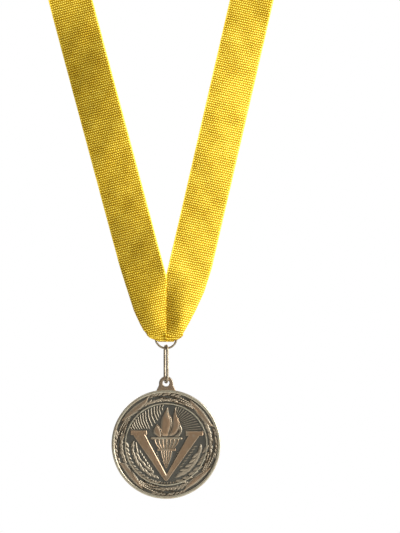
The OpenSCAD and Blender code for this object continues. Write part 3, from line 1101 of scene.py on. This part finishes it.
def stitch(x, y, z, length):
    bpy.ops.object.select_all(action="DESELECT")
    bpy.ops.mesh.primitive_cylinder_add(
        vertices=10, radius=THREAD / 2 * MM, depth=length * MM, rotation=(0, math.pi / 2, 0)
    )
    piece = bpy.context.object
    bpy.ops.object.transform_apply(location=False, rotation=True, scale=False)
    pick_faces(piece, lambda middle, normal: abs(normal.x) > 0.9)
    bpy.ops.mesh.bevel(offset=THREAD * ROUNDED * MM, segments=2)
    bpy.ops.object.mode_set(mode="OBJECT")
    for corner in piece.data.vertices:
        sag = (corner.co.x / (length / 2 * MM)) ** 2
        corner.co.y -= SAG * MM * sag
    piece.data.transform(Matrix.Translation(BAR + Vector((x, y, z)) * MM))
    return piece


stitches = []
HEM_ROWS, IN_A_ROW = (6.5, HEM_H - 1.5), 4
for z in HEM_ROWS:
    for k in range(IN_A_ROW):
        x = (k - (IN_A_ROW - 1) / 2) * PITCH
        stitches.append(stitch(x, HEM_FACE + SAG, z, STITCH))
for z in np.arange(HEM_H + LADDER / 2, SEAM_H - LADDER / 2 + 0.1, LADDER):
    stitches.append(stitch(0, SEAM_FACE + SAG, z, 2 * STITCH))
stitches = done(join("ribbon_stitches", stitches), 50)
print("stitching:", len(stitches.data.polygons), "faces")

# %% [markdown]
# ## Finishes
#
# Each finish is built from nodes. Metals read Object coordinates, because every piece sits at the
# origin, so the pattern stays where it was cast. The cloth reads the strip's own UV, and the thread
# reads Object coordinates.

# %% Material helpers


def finish(name, **socket_values):
    """A new material, its nodes and its main shader, with plain values set on the shader."""
    material = bpy.data.materials.new(name)
    material.use_nodes = True
    tree = material.node_tree
    shader = tree.nodes["Principled BSDF"]
    for socket, value in socket_values.items():
        shader.inputs[socket.replace("_", " ")].default_value = value
    return material, tree, shader


def maths(tree, operation, a, b=0.0):
    return wire_up(tree, "ShaderNodeMath", {0: a, 1: b}, operation=operation).outputs[0]


def between(tree, value, low, high, to_low=0.0, to_high=1.0):
    how = {0: value, 1: low, 2: high, 3: to_low, 4: to_high}
    return wire_up(tree, "ShaderNodeMapRange", how, interpolation_type="SMOOTHSTEP").outputs[0]


def ramp(tree, value, stops):
    """Colours by value. Stops are (place, red, green, blue)."""
    node = wire_up(tree, "ShaderNodeValToRGB", {0: value})
    while len(node.color_ramp.elements) < len(stops):
        node.color_ramp.elements.new(0.5)
    for element, (place, *colour) in zip(node.color_ramp.elements, stops):
        element.position = place
        element.color = (*colour, 1)
    return node.outputs[0]


def noise(tree, where, scale, detail=3.0):
    found = wire_up(tree, "ShaderNodeTexNoise", {"Vector": where, "Scale": scale, "Detail": detail})
    return found.outputs[0]


def uneven(tree, value, much):
    """A noise's value, centred on nothing and scaled."""
    return maths(tree, "MULTIPLY", maths(tree, "SUBTRACT", value, 0.5), much)


def mottled(name, scale, detail, stops, rough=None, **socket_values):
    """A finish whose colour, and roughness if a range is given, follow one noise on the piece."""
    material, tree, shader = finish(name, **socket_values)
    where = wire_up(tree, "ShaderNodeTexCoord").outputs["Object"]
    patches = noise(tree, where, scale, detail)
    tree.links.new(ramp(tree, patches, stops), shader.inputs["Base Color"])
    if rough:
        tree.links.new(between(tree, patches, 0.3, 0.7, *rough), shader.inputs["Roughness"])
    return material


def bump(tree, shader, height, distance, strength=1.0):
    node = wire_up(tree, "ShaderNodeBump", {"Height": height, "Distance": distance,
                                            "Strength": strength})
    tree.links.new(node.outputs[0], shader.inputs["Normal"])


def wear(piece, material):
    """Gives a piece its one finish."""
    piece.data.materials.clear()
    piece.data.materials.append(material)
    print(f"{piece.name} wears {material.name}, {len(material.node_tree.nodes)} nodes")


# %% [markdown]
# Antique bronze plate is darkened all over and then relieved: the high places are rubbed back to
# bare metal, and the dark stays in the hollows. So the colour and the roughness follow the height
# above the field, broken up by a little uneven patina.

# %% Antique bronze
DARK_END, BRIGHT_END, UNEVEN = 0.97 * FIELD, 0.97 * TOP, 0.3
bronze, tree, shader = finish("antique_bronze", Metallic=1.0)
where = wire_up(tree, "ShaderNodeTexCoord").outputs["Object"]
axes = wire_up(tree, "ShaderNodeSeparateXYZ", {0: where})
height = maths(tree, "ABSOLUTE", maths(tree, "SUBTRACT", axes.outputs["Y"], DISC.y))
height = between(tree, height, DARK_END * MM, BRIGHT_END * MM)
patina = uneven(tree, noise(tree, where, 260, 4), UNEVEN)
height = maths(tree, "ADD", height, patina)
BRONZE_BY_HEIGHT = [
    (0.0, 0.115, 0.110, 0.092), (0.3, 0.22, 0.19, 0.14), (0.65, 0.315, 0.262, 0.19),
    (0.84, 0.36, 0.235, 0.14), (1.0, 0.47, 0.43, 0.32),
]
tree.links.new(ramp(tree, height, BRONZE_BY_HEIGHT), shader.inputs["Base Color"])
tree.links.new(between(tree, height, 0, 1, 0.5, 0.38), shader.inputs["Roughness"])
bump(tree, shader, noise(tree, where, 2400, 2), 0.03 * MM, 0.35)
wear(casting, bronze)

# %% [markdown]
# The plate is glossy lacquer, so nearly all that shows is what it reflects. A faint smear in its
# roughness keeps the reflection from looking like glass. The ornament is bare bronze, and the
# adhesive is white foam, which shows only as a line at the seat's edge.

# %% Gloss black
gloss = mottled(
    "black_gloss", 90, 3, [(0.3, 0.006, 0.005, 0.005), (0.7, 0.014, 0.012, 0.011)],
    rough=(0.1, 0.22), Specular_IOR_Level=0.22, Coat_Weight=0.08, Coat_Roughness=0.04,
)
wear(plate, gloss)

# %% Bronze ornament
inlay = mottled(
    "bronze_inlay", 1500, 3, [(0.3, 0.42, 0.28, 0.14), (0.7, 0.62, 0.45, 0.25)],
    rough=(0.28, 0.42), Metallic=1.0,
)
wear(ornament, inlay)

# %% Adhesive, kept from the frame
adhesive = mottled(
    "white_adhesive", 900, 3, [(0.3, 0.62, 0.61, 0.57), (0.7, 0.8, 0.79, 0.75)], rough=(0.6, 0.8)
)
wear(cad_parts["adhesive_disc"], adhesive)

# %% [markdown]
# The ring and the link are nickel plated wire with a warm tone. The tarnish gathers in soft patches
# a few millimetres long, and where it lies the wire is duller.

# %% Pale wire
pale_wire = mottled(
    "pale_wire", 260, 1, [(0.3, 0.22, 0.18, 0.12), (0.7, 0.36, 0.30, 0.215)],
    rough=(0.52, 0.4), Metallic=1.0,
)
wear(ring, pale_wire)
wear(link, pale_wire)

# %% [markdown]
# The ribbon is a ribbed weave: bright bundles of weft show between the ribs in offset rows, and a
# smooth selvage runs down both edges. Two cosines along and across the strip give the offset
# lattice, and the same height drives the colour and the bump. The colour paints the low places
# between the bundles darker, as painted shade, and their tops paler, as painted highlight. A slow
# noise paints soft light and dark patches: painted shade standing in for the cloth's ripples.

# %% Yellow ribbon
ACROSS, RIB, SELVAGE = 1.15, 1.2, 10.45
LATTICE, RIBS, JITTER, FUZZ, PAINTED_RIPPLE_SHADE = 0.55, 0.6, 0.7, 1.2, 0.9
yellow, tree, shader = finish(
    "yellow_ribbon", Sheen_Weight=0.1, Sheen_Roughness=0.4, Specular_IOR_Level=0.14
)
shader.inputs["Sheen Tint"].default_value = (1, 0.9, 0.5, 1)
flat = wire_up(tree, "ShaderNodeUVMap", uv_map=ribbon.data.uv_layers.active.name).outputs[0]
axes = wire_up(tree, "ShaderNodeSeparateXYZ", {0: flat})
u, s = axes.outputs["X"], axes.outputs["Y"]
s = maths(tree, "ADD", s, uneven(tree, noise(tree, flat, 0.35, 3), JITTER))


def wave(value, pitch):
    return maths(tree, "COSINE", maths(tree, "MULTIPLY", value, 2 * math.pi / pitch))


dots = maths(tree, "MULTIPLY", wave(u, ACROSS), wave(s, 2 * RIB))
ribs = wave(s, RIB)
lattice = maths(tree, "MULTIPLY", dots, LATTICE)
lattice = maths(tree, "ADD", lattice, maths(tree, "MULTIPLY", ribs, RIBS))
smooth_edge = between(tree, maths(tree, "ABSOLUTE", u), SELVAGE, SELVAGE + 0.25)
ticks = maths(tree, "ADD", 0.55, maths(tree, "MULTIPLY", ribs, 0.3))
middle = maths(tree, "MULTIPLY", lattice, maths(tree, "SUBTRACT", 1.0, smooth_edge))
weave = maths(tree, "ADD", middle, maths(tree, "MULTIPLY", ticks, smooth_edge))
shade = maths(tree, "ADD", weave, uneven(tree, noise(tree, flat, 4.0, 3), FUZZ))
# A slow noise paints soft light and dark patches into the colour: painted shade for the cloth's
# ripples.
shade = maths(tree, "ADD", shade, uneven(tree, noise(tree, flat, 0.12, 3), PAINTED_RIPPLE_SHADE))
# The colour is painted darker where the weave is low and paler where it is high: painted shade in
# the gaps and painted highlight on the bundles, over the weave's own pattern.
YELLOW_WEAVE_AND_PAINTED_SHADE = [
    (0.0, 0.13, 0.058, 0.0), (0.4, 0.45, 0.238, 0.0005), (0.7, 0.80, 0.52, 0.004),
    (1.0, 1.0, 0.86, 0.17),
]
colour = ramp(tree, between(tree, shade, -1.4, 1.35), YELLOW_WEAVE_AND_PAINTED_SHADE)
tree.links.new(colour, shader.inputs["Base Color"])
tree.links.new(between(tree, weave, -1.2, 1.2, 0.75, 0.45), shader.inputs["Roughness"])
bump(tree, shader, weave, 0.14 * MM, 0.8)
wear(ribbon, yellow)

# %% [markdown]
# The thread is twisted, so a fine wave runs round it. It is a little paler than the cloth, which
# lets the rows of stitches be seen. The floor is plain, with only a breath of unevenness.

# %% Yellow thread
thread, tree, shader = finish("yellow_thread", Sheen_Weight=0.3)
where = wire_up(tree, "ShaderNodeTexCoord").outputs["Object"]
ply = wire_up(tree, "ShaderNodeTexWave", {"Vector": where, "Scale": 900.0, "Distortion": 1.0})
tree.links.new(ramp(tree, ply.outputs["Fac"], [(0.2, 0.55, 0.36, 0.03), (0.8, 0.90, 0.68, 0.14)]),
               shader.inputs["Base Color"])
tree.links.new(between(tree, ply.outputs["Fac"], 0, 1, 0.7, 0.5), shader.inputs["Roughness"])
bump(tree, shader, ply.outputs["Fac"], 0.04 * MM, 0.6)
wear(stitches, thread)

# %% Pale floor
plain = mottled(
    "pale_floor", 6, 2, [(0.3, 0.78, 0.78, 0.77), (0.7, 0.82, 0.82, 0.81)], Roughness=0.9
)
wear(floor, plain)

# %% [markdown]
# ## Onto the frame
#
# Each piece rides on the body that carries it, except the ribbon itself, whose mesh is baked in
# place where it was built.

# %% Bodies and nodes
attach(casting, "medal")
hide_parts("medal_casting")
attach(plate, "medal")
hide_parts("engraving_plate")
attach(ornament, "medal")
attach(ring, "ring")
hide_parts("ribbon_ring")
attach(link, "link")
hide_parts("long_link")
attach(stitches, "ribbon")
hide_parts("ribbon_stitching")

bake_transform(ribbon)
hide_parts("ribbon_left_leg", "ribbon_right_leg", "ribbon_left_shoulder",
            "ribbon_right_shoulder", "ribbon_nape", "ribbon_ring_fold")
